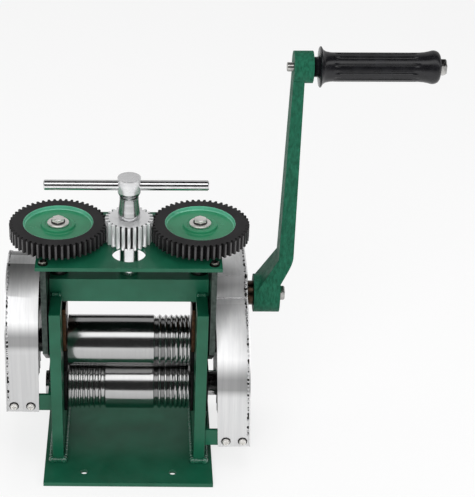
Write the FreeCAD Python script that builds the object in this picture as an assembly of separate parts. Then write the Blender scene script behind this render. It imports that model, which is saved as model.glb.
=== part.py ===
import FreeCAD, Part
import math
import os

from FreeCAD import Placement, Rotation, Vector

# Hand cranked rolling mill for jewellers, in millimetres.
# X runs along the rollers, Y away from the operator, Z up.
# The origin is the centre of the four base holes, on the underside of the base plate.

# ---- base and uprights ----
base_ledge_x = 7.0             # base plate past the uprights, at each side
base_ledge_y = 31.5            # and in front and behind
base_thickness = 4.0
base_hole_radius = 3.5
base_hole_spacing_x = 80.4
base_hole_spacing_y = 126.4
upright_thickness = 10.0
upright_depth = 96.0
leg_rise = 6.5                 # top of the legs above the underside of the yoke
slot_width = 28.0              # slot between the front and the rear leg
slot_floor = 38.0
foot_weld = 4.0
yoke_weld = 5.0

# ---- rollers ----
roller_radius = 23.5
barrel_length = 110.0
barrel_end_gap = 1.3           # between the barrel's end and the bearing's flange
roller_gap = 0.4               # opening when fully closed
lift = 5.0                     # how far the upper roller opens
lower_axis_z = 58.3
journal_radius = 11.0
gear_seat_radius = 9.0
roller_thread_radius = 6.0
wire_groove_count = 7
wire_groove_first = 2.4
wire_groove_step = 0.45
wire_ridge = 0.9
half_round_count = 8
half_round_first = 1.0         # radius; a flat floor stands in for the round one
half_round_step = 0.2
half_round_ridge = 0.8

# ---- roller gears ----
sync_teeth = 14
sync_addendum = 3.5
sync_dedendum = 3.8
sync_tooth = 5.0               # tooth width on the pitch circle
drive_module = 3.0
drive_pinion_teeth = 8
drive_gear_teeth = 20
drive_addendum = 2.4
drive_dedendum = 3.3
drive_tooth = 3.1
drive_tooth_offset = 2.6       # the pinion's tooth stands off the gap's middle, so the lift stays free
pressure_angle = math.radians(20)
straight_flank_teeth = 22      # a gear with more teeth than this gets straight flanks
roller_gear_width = 13.0
drive_pinion_width = 15.0
roller_gear_standoff = 12.5    # between the upright and the gears
roller_nut_flats = 19.0
roller_nut_thickness = 6.0
thread_end = 1.5               # thread that stands past a nut
journal_shoulder_gap = 0.5     # journal's shoulder short of the gear
stub_length = 4.0              # lower roller's left journal past its bearing

# ---- bearings ----
bearing_flange_width = 38.0
bearing_flange_thickness = 3.2
bearing_flange_lift = 2.0      # lower bearing's flange above the slot's floor
lower_bearing_top = 84.0
upper_bearing_height = 44.3    # above the roller's axis

# ---- yoke ----
yoke_depth = 28.0
yoke_height = 23.0
yoke_clearance = 1.0           # left over the upper bearings when fully open
yoke_end_gap = 0.6             # between the yoke's end and the hanger

# ---- lifting carriage ----
top_plate_overhang = 4.2       # past the hangers, at each side
top_plate_depth = 100.0
top_plate_thickness = 3.5
top_plate_rise = 32.7          # top of the plate above the top of the yoke
sight_hole_radius = 14.7
sight_hole_y = -24.7
hanger_thickness = 4.8
hanger_gap = 1.5               # between the upright and the hanger
hanger_setback = 4.0           # hanger's edges inside the top plate's, in front and behind
hanger_shoulder_z = 121.0
hanger_eye_radius = 17.0
plate_bolt_inset = 7.0         # bolt's axis inside the top plate's front and rear edges
plate_bolt_radius = 2.0
plate_bolt_length = 16.0
plate_bolt_flats = 8.0
plate_bolt_head = 2.9

# ---- adjusting gears ----
screw_inset = 2.5              # screw's axis outside the upright's inner face
adjust_gear_teeth = 50
adjust_pinion_teeth = 24
adjust_addendum = 1.0
adjust_dedendum = 2.1
adjust_tooth = 2.45
adjust_gear_thickness = 13.2
adjust_gear_gap = 3.7          # gear above the top plate, over the bolt heads
adjust_recess_radius = 30.7
adjust_recess_depth = 4.0
adjust_hub_radius = 14.0
adjust_hub_sink = 0.6          # hub top below the rim
screw_radius = 8.0
screw_neck_radius = 6.0
gear_bolt_radius = 3.0
gear_bolt_flats = 10.0
gear_bolt_head = 4.0
gear_bolt_length = 16.0
gear_washer_radius = 9.5
gear_washer_thickness = 1.2
adjust_boss_radius = 14.0      # boss under the gear, on the top plate
pinion_height = 21.7
spindle_radius = 8.5
spindle_depth = 10.0           # how deep the spindle sits in the yoke
spindle_room = 1.0             # left under it
neck_sink = 1.0                # screw's neck ends below the top of the gear's hub

# ---- T handle ----
post_height = 39.5
post_flare_radius = 9.8
post_waist_radius = 8.2
post_head_radius = 10.2
post_flare_z = 4.0
post_waist_z = 21.0
post_head_z = 25.5
bar_height = 31.6              # bar's axis above the top of the pinion
bar_radius = 4.5
bar_length = 142.2
bar_offset = -2.6
bar_chamfer = 1.0

# ---- crank ----
crank_inset = 17.0             # crank shaft inside the upright's rear edge
crank_rise = 32.5              # crank shaft above the upper roller's axis
crank_shaft_radius = 7.0
crank_shaft_recess = 5.2       # shaft's end inside the hub
crank_shaft_tail = 1.5         # shaft past the pinion
bush_wall = 2.0
collar_radius = 11.2
collar_standoff = 37.9         # between the upright and the collar
collar_length = 6.3
hub_length = 23.5
hub_radius = 17.5
throw = 224.3
arm_outset = 10.4              # arm's outer face past the hub's end
arm_foot_thickness = 13.2
arm_tip_thickness = 9.4
arm_foot_width = 23.0
arm_tip_width = 19.0
arm_elbow_rise = 41.0          # where the slanted part ends, above the hub's axis
arm_slant_start = 10.0
arm_foot_inset = 2.0           # arm's foot inside the hub's inner end
arm_bend = 2.5                 # how far the outer bend is cut off
arm_bend_drop = 7.5            # and how far below the elbow the cut ends
boss_radius = 13.7
boss_inset = 9.3               # boss's inner end inside the arm's outer face
boss_length = 16.4
crank_bolt_radius = 4.0
crank_bolt_flats = 13.0
crank_bolt_head = 5.3
crank_bolt_length = 20.0
axle_radius = 4.0
axle_tail = 5.4                # threaded end past the boss
axle_head_flats = 13.0
axle_head = 5.1

# ---- grip ----
grip_gap = 0.5
grip_nose_radius = 8.5
grip_nose_length = 4.2
grip_flange_radius = 17.5
grip_flange_thickness = 3.5
grip_body_radius = 12.3
grip_length = 106.0
grip_flare_radius = 14.2
grip_flare_length = 20.0       # from the free end to where the flare starts
grip_cap_radius = 9.2
grip_cap_length = 6.0

# ---- gear guards ----
guard_sheet = 1.2
guard_width = 29.5
guard_rim = 0.8                # outer plate stands past the strip
left_guard_leg = 81.0          # straight part below the arc
left_guard_arc_y = 5.0
left_guard_arc_drop = 0.2      # arc's centre below the crank shaft
left_guard_arc_radius = 50.0
left_guard_standoff = 11.4     # between the upright and the guard
left_guard_lean = 1.0          # degrees, the foot stands out further than the top
right_guard_leg = 79.5
right_guard_arc_y = 2.0
right_guard_arc_drop = 38.2
right_guard_arc_radius = 49.0
right_guard_standoff = 12.1
right_guard_lean = 2.0
shaft_cover_rise = 35.2        # top of the raised part above the crank shaft
guard_hole_radius = 9.0
bracket_thickness = 3.0
bracket_height = 17.0
bracket_leg = 22.0             # along the upright
bracket_rise = 1.0             # above the guard's lower edge
bracket_end_gap = 3.0          # short of the guard's outer plate
guard_screw_head_radius = 4.3
guard_screw_head = 2.6
guard_screw_inset = 7.2
guard_screw_rise = 6.5

# ---- fits ----
running_fit = 0.05
slide_fit = 0.1
clear_hole = 0.5
seat = 0.3
cut_past = 1.0                 # how far a cutter reaches past the face it opens

# ---- worked out ----
inner_x = barrel_length / 2 + barrel_end_gap + bearing_flange_thickness
outer_x = inner_x + upright_thickness
base_width = 2 * (outer_x + base_ledge_x)
base_depth = upright_depth + 2 * base_ledge_y
upper_axis_z = lower_axis_z + 2 * roller_radius + roller_gap
upper_bearing_top = upper_axis_z + upper_bearing_height
yoke_bottom = upper_bearing_top + lift + yoke_clearance
yoke_top = yoke_bottom + yoke_height
upright_top = yoke_bottom + leg_rise
hanger_x = outer_x + hanger_gap
yoke_end_x = hanger_x - yoke_end_gap
top_plate_top = yoke_top + top_plate_rise
top_plate_bottom = top_plate_top - top_plate_thickness
top_plate_width = 2 * (hanger_x + hanger_thickness + top_plate_overhang)
hanger_depth = top_plate_depth - 2 * hanger_setback
plate_bolt_y = top_plate_depth / 2 - plate_bolt_inset
barrel_x = barrel_length / 2
screw_x = inner_x + screw_inset
gear_bottom = top_plate_top + adjust_gear_gap
gear_top = gear_bottom + adjust_gear_thickness
pinion_bottom = top_plate_top + seat
pinion_top = pinion_bottom + pinion_height
adjust_module = 2 * screw_x / (adjust_gear_teeth + adjust_pinion_teeth)
roller_gear_start = outer_x + roller_gear_standoff
roller_gear_end = roller_gear_start + roller_gear_width
roller_end = roller_gear_end + roller_nut_thickness + thread_end
crank_y = upright_depth / 2 - crank_inset
crank_z = upper_axis_z + crank_rise
collar_start = outer_x + collar_standoff
hub_start = collar_start + collar_length
hub_end = hub_start + hub_length
crank_shaft_end = hub_end - crank_shaft_recess
arm_outer_x = hub_end + arm_outset
boss_start = arm_outer_x - boss_inset
handle_z = crank_z + throw
grip_start = boss_start + boss_length + grip_gap
grip_end = grip_start + grip_length
left_guard_inner_x = -(outer_x + left_guard_standoff)
left_guard_arc_z = crank_z - left_guard_arc_drop
left_guard_bottom = left_guard_arc_z - left_guard_leg
right_guard_inner_x = outer_x + right_guard_standoff
right_guard_arc_z = crank_z - right_guard_arc_drop
right_guard_bottom = right_guard_arc_z - right_guard_leg
shaft_cover_top = crank_z + shaft_cover_rise
drive_pinion_end = -(roller_gear_start + roller_gear_width / 2 + drive_pinion_width / 2)

LEFT, RIGHT = -1, 1


def box(x0, x1, y0, y1, z0, z1):
    corner = Vector(min(x0, x1), min(y0, y1), min(z0, z1))
    return Part.makeBox(abs(x1 - x0), abs(y1 - y0), abs(z1 - z0), corner)


def rod_x(radius, x0, x1, y, z):
    return Part.makeCylinder(radius, abs(x1 - x0), Vector(min(x0, x1), y, z), Vector(1, 0, 0))


def rod_y(radius, y0, y1, x, z):
    return Part.makeCylinder(radius, abs(y1 - y0), Vector(x, min(y0, y1), z), Vector(0, 1, 0))


def rod_z(radius, z0, z1, x, y):
    return Part.makeCylinder(radius, abs(z1 - z0), Vector(x, y, min(z0, z1)), Vector(0, 0, 1))


def hexagon_x(flats, x0, x1, y, z):
    """A hexagon prism along X, for a bolt head or a nut."""
    corner = flats / math.sqrt(3)
    points = []
    for angle in range(0, 361, 60):
        dy = corner * math.cos(math.radians(angle))
        dz = corner * math.sin(math.radians(angle))
        points.append(Vector(min(x0, x1), y + dy, z + dz))
    return Part.Face(Part.makePolygon(points)).extrude(Vector(abs(x1 - x0), 0, 0))


def hexagon_z(flats, z0, z1, x, y):
    """A hexagon prism along Z, for a bolt head."""
    corner = flats / math.sqrt(3)
    points = []
    for angle in range(30, 391, 60):
        dx = corner * math.cos(math.radians(angle))
        dy = corner * math.sin(math.radians(angle))
        points.append(Vector(x + dx, y + dy, z0))
    return Part.Face(Part.makePolygon(points)).extrude(Vector(0, 0, z1 - z0))


def turned_x(profile, y, z):
    """A solid turned about a line along X, from (x, radius) points."""
    points = [Vector(x, y, z + radius) for x, radius in profile]
    points = [Vector(profile[0][0], y, z)] + points + [Vector(profile[-1][0], y, z)]
    face = Part.Face(Part.makePolygon(points + points[:1]))
    return face.revolve(Vector(0, y, z), Vector(1, 0, 0), 360)


def turned_z(profile, x, y):
    """A solid turned about a line along Z, from (radius, z) points."""
    points = [Vector(x + radius, y, z) for radius, z in profile]
    points = [Vector(x, y, profile[0][1])] + points + [Vector(x, y, profile[-1][1])]
    face = Part.Face(Part.makePolygon(points + points[:1]))
    return face.revolve(Vector(x, y, 0), Vector(0, 0, 1), 360)


def plate_yz(points, x0, x1):
    """A flat plate from an outline in the YZ plane."""
    outline = [Vector(min(x0, x1), y, z) for y, z in points]
    return Part.Face(Part.makePolygon(outline + outline[:1])).extrude(Vector(abs(x1 - x0), 0, 0))


def save(name, shape):
    shape.exportStep(os.path.join("parts", name + ".step"))


# ---- gears ----

def involute(angle):
    return math.tan(angle) - angle


def half_tooth_angle(radius, pitch_radius, tooth):
    """Half the angle that a tooth takes up at a radius; the flank is radial below the base circle."""
    base_radius = pitch_radius * math.cos(pressure_angle)
    here = math.acos(min(1.0, base_radius / radius))
    return tooth / (2 * pitch_radius) + involute(pressure_angle) - involute(here)


def gear(teeth, pitch_radius, addendum, dedendum, tooth, width, turn):
    """A spur gear along Z from z = 0, with one tooth at the angle turn, in radians."""
    radii = [pitch_radius - dedendum, pitch_radius, pitch_radius + addendum]
    if teeth > straight_flank_teeth:
        radii.remove(pitch_radius)
    halves = [half_tooth_angle(radius, pitch_radius, tooth) for radius in radii]
    flank = list(zip(radii, halves))
    points = []
    for i in range(teeth):
        middle = turn + 2 * math.pi * i / teeth
        rising = [(radius, middle - half) for radius, half in flank]
        falling = [(radius, middle + half) for radius, half in reversed(flank)]
        for radius, angle in rising + falling:
            points.append(Vector(radius * math.cos(angle), radius * math.sin(angle), 0))
    return Part.Face(Part.makePolygon(points + points[:1])).extrude(Vector(0, 0, width))


def along_x(gear_solid, x, y, z):
    """Lays a gear on the X axis: its first angle points along +Y and turns towards +Z."""
    turned = gear_solid.copy()
    lay = Rotation(Vector(0, 1, 0), Vector(0, 0, 1), Vector(1, 0, 0), "YZX")
    turned.Placement = Placement(Vector(x, y, z), lay)
    return turned


# ---- frame ----

def base_plate():
    plate = box(-base_width / 2, base_width / 2, -base_depth / 2, base_depth / 2, 0, base_thickness)
    for sx in (LEFT, RIGHT):
        for sy in (-1, 1):
            x = sx * base_hole_spacing_x / 2
            y = sy * base_hole_spacing_y / 2
            plate = plate.cut(rod_z(base_hole_radius, 0, base_thickness, x, y))
    return plate


def upright(side):
    x0 = side * inner_x
    x1 = side * outer_x
    plate = box(x0, x1, -upright_depth / 2, upright_depth / 2, base_thickness, upright_top)
    plate = plate.cut(box(x0, x1, -slot_width / 2, slot_width / 2, slot_floor, upright_top))
    return plate.cut(rod_x(crank_shaft_radius + bush_wall, x0, x1, crank_y, crank_z))


def yoke_bar():
    bar = box(-yoke_end_x, yoke_end_x, -yoke_depth / 2, yoke_depth / 2, yoke_bottom, yoke_top)
    for side in (LEFT, RIGHT):
        bar = bar.cut(rod_z(screw_radius + running_fit, yoke_bottom, yoke_top, side * screw_x, 0))
    floor = yoke_top - spindle_depth - spindle_room
    return bar.cut(rod_z(spindle_radius + slide_fit, floor, yoke_top, 0, 0))


def bead(corner, along_first, along_second, run):
    """A triangular weld bead in a corner, from the corner point and its two legs."""
    points = [corner, corner + along_first, corner + along_second, corner]
    return Part.Face(Part.makePolygon(points)).extrude(run)


def frame_welds():
    beads = []
    run = Vector(0, upright_depth - 2 * foot_weld, 0)
    for side in (LEFT, RIGHT):
        for x, outward in ((side * outer_x, side), (side * inner_x, -side)):
            corner = Vector(x, -upright_depth / 2 + foot_weld, base_thickness)
            beads.append(bead(corner, Vector(outward * foot_weld, 0, 0), Vector(0, 0, foot_weld), run))
        for face in (-1, 1):
            corner = Vector(min(side * inner_x, side * outer_x), face * yoke_depth / 2, upright_top)
            beads.append(bead(corner, Vector(0, face * yoke_weld, 0), Vector(0, 0, yoke_weld),
                              Vector(upright_thickness, 0, 0)))
    return Part.makeCompound(beads)


def lower_bearing(side):
    half_slot = slot_width / 2 - slide_fit
    half_flange = bearing_flange_width / 2
    block = box(side * inner_x, side * outer_x, -half_slot, half_slot, slot_floor, lower_bearing_top)
    for x, outward in ((side * inner_x, -side), (side * outer_x, side)):
        cheek = box(x, x + outward * bearing_flange_thickness, -half_flange, half_flange,
                    slot_floor + bearing_flange_lift, lower_bearing_top)
        block = block.fuse(cheek)
    bore_start = side * (inner_x - bearing_flange_thickness - cut_past)
    bore_end = side * (outer_x + bearing_flange_thickness + cut_past)
    return block.removeSplitter().cut(
        rod_x(journal_radius + running_fit, bore_start, bore_end, 0, lower_axis_z))


def upper_bearing(side):
    """A half bearing that presses on the top of the journal, with a guide flange inside the upright."""
    half_slot = slot_width / 2 - slide_fit
    half_flange = bearing_flange_width / 2
    block = box(side * inner_x, side * outer_x, -half_slot, half_slot, upper_axis_z, upper_bearing_top)
    start = side * (inner_x - slide_fit)
    cheek = box(start, start - side * bearing_flange_thickness, -half_flange, half_flange,
                upper_axis_z, upper_bearing_top)
    neck = box(side * inner_x, start, -half_slot, half_slot, upper_axis_z, upper_bearing_top)
    block = block.fuse([cheek, neck]).removeSplitter()
    bore_start = start - side * (bearing_flange_thickness + cut_past)
    bore_end = side * (outer_x + cut_past)
    return block.cut(rod_x(journal_radius + running_fit, bore_start, bore_end, 0, upper_axis_z))


def crank_bushes():
    bushes = []
    for side in (LEFT, RIGHT):
        x0 = side * inner_x
        x1 = side * outer_x
        outer = rod_x(crank_shaft_radius + bush_wall, x0, x1, crank_y, crank_z)
        bushes.append(outer.cut(rod_x(crank_shaft_radius + running_fit, x0, x1, crank_y, crank_z)))
    return Part.makeCompound(bushes)


# ---- guards ----

def arch_face(bottom, arc_y, arc_z, radius, cover_top):
    """The guard's outline as a face in the YZ plane, with the raised shaft cover if it has one."""
    front = arc_y - radius
    back = arc_y + radius
    top = Vector(0, arc_y, arc_z + radius)
    edges = [Part.makeLine(Vector(0, front, bottom), Vector(0, front, arc_z))]
    quarter = radius * math.sqrt(0.5)
    shoulder = Vector(0, arc_y - quarter, arc_z + quarter)
    edges.append(Part.Arc(Vector(0, front, arc_z), shoulder, top).toShape())
    if cover_top:
        corners = [top, Vector(0, arc_y, cover_top), Vector(0, back, cover_top), Vector(0, back, bottom)]
        edges += [Part.makeLine(a, b) for a, b in zip(corners, corners[1:])]
    else:
        side = Vector(0, back, arc_z)
        edges.append(Part.Arc(top, Vector(0, arc_y + quarter, arc_z + quarter), side).toShape())
        edges.append(Part.makeLine(side, Vector(0, back, bottom)))
    edges.append(Part.makeLine(Vector(0, back, bottom), Vector(0, front, bottom)))
    return Part.Face(Part.Wire(edges))


def guard(side, bottom, arc_y, arc_z, radius, cover_top, inner_edge, lean):
    """Bent strip and flat outer plate of a gear guard, open at the bottom and towards the upright."""
    outer_edge = inner_edge + side * guard_width
    run = Vector(side * guard_width, 0, 0)
    plate_run = Vector(-side * guard_sheet, 0, 0)
    body = arch_face(bottom, arc_y, arc_z, radius, cover_top)
    hollow_top = cover_top - guard_sheet if cover_top else 0
    hollow = arch_face(bottom - cut_past, arc_y, arc_z, radius - guard_sheet, hollow_top)
    if cover_top:
        hollow = hollow.fuse(Part.Face(Part.makePolygon([
            Vector(0, arc_y + guard_sheet, arc_z),
            Vector(0, arc_y + guard_sheet, hollow_top),
            Vector(0, arc_y + radius - guard_sheet, hollow_top),
            Vector(0, arc_y + radius - guard_sheet, arc_z),
            Vector(0, arc_y + guard_sheet, arc_z)]))).removeSplitter()
        hollow = hollow.cut(box(-cut_past, cut_past, arc_y, arc_y + guard_sheet,
                                arc_z + radius - guard_sheet, cover_top))
    shell = body.extrude(run).cut(hollow.extrude(run))
    rim = arch_face(bottom, arc_y, arc_z, radius + guard_rim, cover_top + guard_rim if cover_top else 0)
    outer_plate = rim.extrude(plate_run)
    outer_plate.translate(run)
    shell = shell.fuse(outer_plate).removeSplitter()
    if side == RIGHT:
        shell = shell.cut(rod_x(guard_hole_radius, 0, guard_width, crank_y, crank_z))
    shell.translate(Vector(inner_edge, 0, 0))
    shell.rotate(Vector(inner_edge, 0, bottom), Vector(0, 1, 0), -side * lean)
    return shell


def left_guard():
    return guard(LEFT, left_guard_bottom, left_guard_arc_y, left_guard_arc_z, left_guard_arc_radius, 0,
                 left_guard_inner_x, left_guard_lean)


def right_guard():
    return guard(RIGHT, right_guard_bottom, right_guard_arc_y, right_guard_arc_z, right_guard_arc_radius,
                 shaft_cover_top, right_guard_inner_x, right_guard_lean)


def guard_frames():
    """For each guard: side, bottom, inner edge and the Y of its front and its back."""
    return (
        (LEFT, left_guard_bottom, left_guard_inner_x,
         left_guard_arc_y - left_guard_arc_radius, left_guard_arc_y + left_guard_arc_radius),
        (RIGHT, right_guard_bottom, right_guard_inner_x,
         right_guard_arc_y - right_guard_arc_radius, right_guard_arc_y + right_guard_arc_radius))


def guard_brackets(side, bottom, inner_edge, front, back):
    """Two bent flat bars, welded to the upright, that carry the guard's strip in front and behind."""
    bars = []
    reach = inner_edge + side * (guard_width - bracket_end_gap)
    low = bottom + bracket_rise
    high = low + bracket_height
    for wall, inward in ((front, 1), (back, -1)):
        face = wall + inward * guard_sheet
        end = face + inward * bracket_thickness
        across = box(side * outer_x, reach, face, end, low, high)
        leg = box(side * outer_x, side * (outer_x + bracket_thickness),
                  face, face + inward * bracket_leg, low, high)
        bars.append(across.fuse(leg).removeSplitter())
    return Part.makeCompound(bars)


def guard_screws():
    screws = []
    for side, bottom, inner_edge, front, back in guard_frames():
        for wall, inward in ((front, 1), (back, -1)):
            for inset in (guard_screw_inset, guard_width - guard_screw_inset):
                x = inner_edge + side * inset
                z = bottom + guard_screw_rise
                head = rod_y(guard_screw_head_radius, wall - inward * guard_screw_head, wall, x, z)
                screws.append(head)
    return Part.makeCompound(screws)


# ---- rollers ----

def ring_cutter(points, axis_z):
    """A groove's section, turned about the roller's axis."""
    above = Vector(0, 0, cut_past)
    section = [points[0] + above] + points + [points[-1] + above]
    face = Part.Face(Part.makePolygon(section + section[:1]))
    return face.revolve(Vector(0, 0, axis_z), Vector(1, 0, 0), 360)


def wire_grooves(axis_z):
    """Square wire grooves at the right end of a roller, finest outside."""
    cutters = []
    edge = barrel_x
    for i in range(wire_groove_count):
        width = wire_groove_first + i * wire_groove_step
        right = edge - wire_ridge
        left = right - width
        surface = axis_z + roller_radius
        points = [Vector(left, 0, surface), Vector((left + right) / 2, 0, surface - width / 2),
                  Vector(right, 0, surface)]
        cutters.append(ring_cutter(points, axis_z))
        edge = left
    return cutters


def half_round_grooves(axis_z):
    """Half round wire grooves at the left end of the lower roller, finest outside."""
    cutters = []
    edge = -barrel_x
    surface = axis_z + roller_radius
    for i in range(half_round_count):
        radius = half_round_first + i * half_round_step
        middle = edge + half_round_ridge + radius
        floor = surface - radius
        points = [Vector(middle - radius, 0, surface), Vector(middle - radius, 0, floor),
                  Vector(middle + radius, 0, floor), Vector(middle + radius, 0, surface)]
        cutters.append(ring_cutter(points, axis_z))
        edge = middle + radius
    return cutters


def shaft_profile(start, side):
    """(x, radius) from the barrel's end to the end of a geared journal."""
    shoulder = roller_gear_start - journal_shoulder_gap
    return [(side * start, journal_radius), (side * shoulder, journal_radius),
            (side * shoulder, gear_seat_radius), (side * roller_gear_end, gear_seat_radius),
            (side * roller_gear_end, roller_thread_radius), (side * roller_end, roller_thread_radius)]


def upper_roller():
    left = shaft_profile(barrel_x, LEFT)[::-1]
    right = shaft_profile(barrel_x, RIGHT)
    barrel = [(-barrel_x, roller_radius), (barrel_x, roller_radius)]
    roller = turned_x(left + barrel + right, 0, upper_axis_z)
    return roller.cut(wire_grooves(upper_axis_z))


def lower_roller():
    stub_end = -(outer_x + bearing_flange_thickness + stub_length)
    left = [(stub_end, journal_radius), (-barrel_x, journal_radius)]
    right = shaft_profile(barrel_x, RIGHT)
    barrel = [(-barrel_x, roller_radius), (barrel_x, roller_radius)]
    roller = turned_x(left + barrel + right, 0, lower_axis_z)
    return roller.cut(wire_grooves(lower_axis_z) + half_round_grooves(lower_axis_z))


def roller_nut(side, axis_z):
    start = side * roller_gear_end
    nut = hexagon_x(roller_nut_flats, start, start + side * roller_nut_thickness, 0, axis_z)
    return nut.cut(rod_x(roller_thread_radius, start, side * roller_end, 0, axis_z))


def sync_gear(axis_z, turn):
    pitch_radius = (upper_axis_z - lower_axis_z) / 2
    solid = gear(sync_teeth, pitch_radius, sync_addendum, sync_dedendum, sync_tooth,
                 roller_gear_width, turn)
    solid = solid.cut(rod_z(gear_seat_radius, 0, roller_gear_width, 0, 0))
    return along_x(solid, roller_gear_start, 0, axis_z)


def drive_line_angle():
    """Direction from the upper roller's axis to the crank shaft, in the YZ plane."""
    return math.atan2(crank_z - upper_axis_z, crank_y)


def driven_gear():
    pitch_radius = drive_module * drive_gear_teeth / 2
    turn = drive_line_angle() + math.pi / drive_gear_teeth
    solid = gear(drive_gear_teeth, pitch_radius, drive_addendum, drive_dedendum, drive_tooth,
                 roller_gear_width, turn)
    solid = solid.cut(rod_z(gear_seat_radius, 0, roller_gear_width, 0, 0))
    return along_x(solid, -roller_gear_end, 0, upper_axis_z)


# ---- crank ----

def drive_pinion():
    pitch_radius = drive_module * drive_pinion_teeth / 2
    turn = drive_line_angle() + math.pi - drive_tooth_offset / pitch_radius
    solid = gear(drive_pinion_teeth, pitch_radius, drive_addendum, drive_dedendum, drive_tooth,
                 drive_pinion_width, turn)
    solid = solid.cut(rod_z(crank_shaft_radius, 0, drive_pinion_width, 0, 0))
    return along_x(solid, drive_pinion_end, crank_y, crank_z)


def crank_shaft():
    end = drive_pinion_end - crank_shaft_tail
    shaft = rod_x(crank_shaft_radius, end, crank_shaft_end, crank_y, crank_z)
    bolt_start = hub_end - crank_bolt_length
    return shaft.cut(rod_x(crank_bolt_radius, bolt_start, crank_shaft_end, crank_y, crank_z))


def crank_collar():
    collar = rod_x(collar_radius, collar_start, hub_start, crank_y, crank_z)
    return collar.cut(rod_x(crank_shaft_radius, collar_start, hub_start, crank_y, crank_z))


def arm_front_outline():
    """The arm seen from the front: foot on the hub, slanted elbow and straight arm."""
    elbow_z = crank_z + arm_elbow_rise
    foot_x = hub_start + arm_foot_inset
    return [(foot_x, crank_z), (foot_x, crank_z + arm_slant_start),
            (arm_outer_x - arm_foot_thickness, elbow_z), (arm_outer_x - arm_tip_thickness, handle_z),
            (arm_outer_x, handle_z), (arm_outer_x, elbow_z),
            (arm_outer_x - arm_bend, elbow_z - arm_bend_drop),
            (hub_end, crank_z + hub_radius), (hub_end, crank_z)]


def arm_side_outline():
    """The arm seen from the side, tapering from the hub to the handle's boss."""
    elbow_z = crank_z + arm_elbow_rise
    half_foot = arm_foot_width / 2
    half_tip = arm_tip_width / 2
    return [(crank_y - hub_radius, crank_z), (crank_y - half_foot, elbow_z), (crank_y - half_tip, handle_z),
            (crank_y + half_tip, handle_z), (crank_y + half_foot, elbow_z), (crank_y + hub_radius, crank_z)]


def crank_arm():
    points = [Vector(x, crank_y - hub_radius, z) for x, z in arm_front_outline()]
    front = Part.Face(Part.makePolygon(points + points[:1])).extrude(Vector(0, 2 * hub_radius, 0))
    arm = front.common(plate_yz(arm_side_outline(), hub_start, arm_outer_x))
    hub = rod_x(hub_radius, hub_start, hub_end, crank_y, crank_z)
    boss = rod_x(boss_radius, boss_start, boss_start + boss_length, crank_y, handle_z)
    arm = arm.fuse([hub, boss]).removeSplitter()
    arm = arm.cut(rod_x(crank_shaft_radius, hub_start, crank_shaft_end, crank_y, crank_z))
    arm = arm.cut(rod_x(crank_bolt_radius, crank_shaft_end, hub_end, crank_y, crank_z))
    return arm.cut(rod_x(axle_radius, boss_start - axle_tail, boss_start + boss_length, crank_y, handle_z))


def crank_bolt():
    shank = rod_x(crank_bolt_radius, hub_end - crank_bolt_length, hub_end, crank_y, crank_z)
    head = hexagon_x(crank_bolt_flats, hub_end, hub_end + crank_bolt_head, crank_y, crank_z)
    return shank.fuse(head)


def handle_axle():
    shank = rod_x(axle_radius, boss_start - axle_tail, grip_end + grip_gap, crank_y, handle_z)
    head_start = grip_end + grip_gap
    head = hexagon_x(axle_head_flats, head_start, head_start + axle_head, crank_y, handle_z)
    return shank.fuse(head)


def handle_grip():
    nose_end = grip_start + grip_nose_length
    flange_end = nose_end + grip_flange_thickness
    flare_start = grip_end - grip_flare_length
    flare_end = grip_end - grip_cap_length
    profile = [(grip_start, grip_nose_radius), (nose_end, grip_nose_radius),
               (nose_end, grip_flange_radius), (flange_end, grip_flange_radius),
               (flange_end, grip_body_radius), (flare_start, grip_body_radius),
               (flare_end, grip_flare_radius), (grip_end, grip_cap_radius)]
    grip = turned_x(profile, crank_y, handle_z)
    return grip.cut(rod_x(axle_radius + running_fit, grip_start, grip_end, crank_y, handle_z))


# ---- lifting carriage ----

def top_plate():
    plate = box(-top_plate_width / 2, top_plate_width / 2, -top_plate_depth / 2, top_plate_depth / 2,
                top_plate_bottom, top_plate_top)
    holes = [rod_z(spindle_radius + slide_fit, top_plate_bottom, top_plate_top, 0, 0),
             rod_z(sight_hole_radius, top_plate_bottom, top_plate_top, 0, sight_hole_y)]
    for side in (LEFT, RIGHT):
        holes.append(rod_z(screw_neck_radius + slide_fit, top_plate_bottom, top_plate_top, side * screw_x, 0))
        for y in (-plate_bolt_y, plate_bolt_y):
            x = side * (hanger_x + hanger_thickness / 2)
            holes.append(rod_z(plate_bolt_radius, top_plate_bottom, top_plate_top, x, y))
    return plate.cut(holes)


def hanger(side):
    """A plate outside the upright: bolted under the top plate, with an eye for the upper journal."""
    x0 = side * hanger_x
    x1 = side * (hanger_x + hanger_thickness)
    half = hanger_depth / 2
    shift = hanger_eye_radius * math.sqrt(0.5)
    outline = [(-half, top_plate_bottom), (half, top_plate_bottom), (half, hanger_shoulder_z),
               (shift, upper_axis_z - shift), (-shift, upper_axis_z - shift), (-half, hanger_shoulder_z)]
    plate = plate_yz(outline, x0, x1)
    plate = plate.fuse(rod_x(hanger_eye_radius, x0, x1, 0, upper_axis_z)).removeSplitter()
    slot_radius = crank_shaft_radius + clear_hole
    low = crank_z - lift
    slot = rod_x(slot_radius, x0, x1, crank_y, crank_z).fuse(rod_x(slot_radius, x0, x1, crank_y, low))
    slot = slot.fuse(box(x0, x1, crank_y - slot_radius, crank_y + slot_radius, low, crank_z))
    plate = plate.cut(rod_x(journal_radius + slide_fit, x0, x1, 0, upper_axis_z))
    plate = plate.cut(slot)
    for y in (-plate_bolt_y, plate_bolt_y):
        x = side * (hanger_x + hanger_thickness / 2)
        plate = plate.cut(rod_z(plate_bolt_radius, top_plate_top - plate_bolt_length, top_plate_bottom, x, y))
    return plate


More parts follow.
